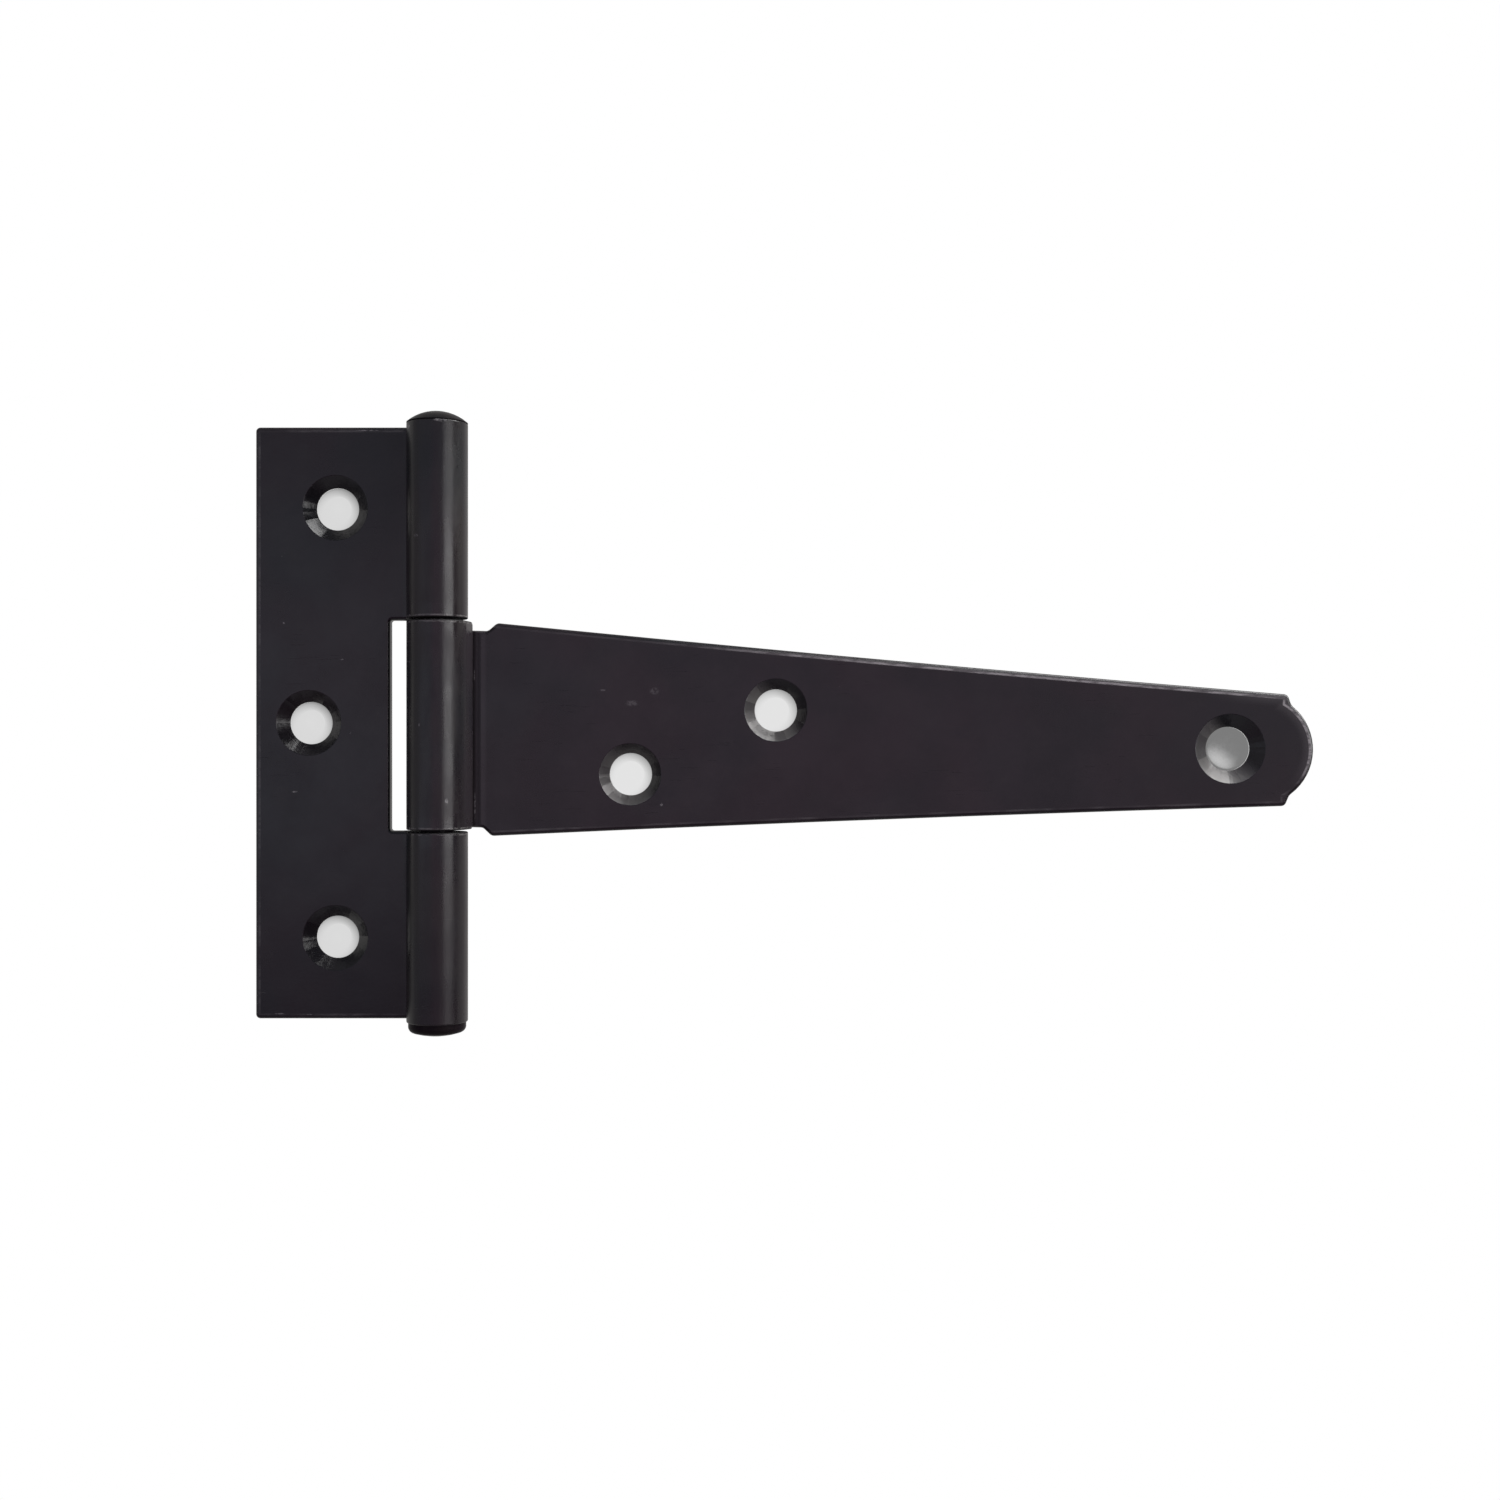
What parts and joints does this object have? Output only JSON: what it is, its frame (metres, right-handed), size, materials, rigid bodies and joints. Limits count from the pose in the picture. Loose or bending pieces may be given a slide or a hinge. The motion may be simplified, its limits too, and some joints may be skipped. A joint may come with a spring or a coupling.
{
  "type": "t hinge",
  "caption": "Light steel t hinge: a notched rectangular leaf and a long tapered strap leaf turn on a fixed pin with formed heads; both leaves have countersunk screw holes.",
  "frame": {"origin": "on the mounting plane of both leaves' backs, straight under the middle of the pin axis", "axes": "+Z out of the front faces, where the screw heads go; +X along the strap leaf towards its tip; Y along the pin"},
  "size_m": [0.1231, 0.0718, 0.007],
  "materials": {
    "plate_paint": "semi-gloss black paint",
    "strap_paint": "semi-gloss black paint",
    "pin_paint": "semi-gloss black paint"
  },
  "bodies": {
    "plate_side": {"plate_leaf": "plate_paint", "hinge_pin": "pin_paint"},
    "strap_side": {"strap_leaf": "strap_paint"}
  },
  "joints": [
    {"name": "strap_swing", "type": "hinge", "parent": "plate_side", "child": "strap_side", "pos_m": [0, 0, 0.0035], "axis": [0, -1, 0], "range_deg": [-110, 188]}
  ]
}
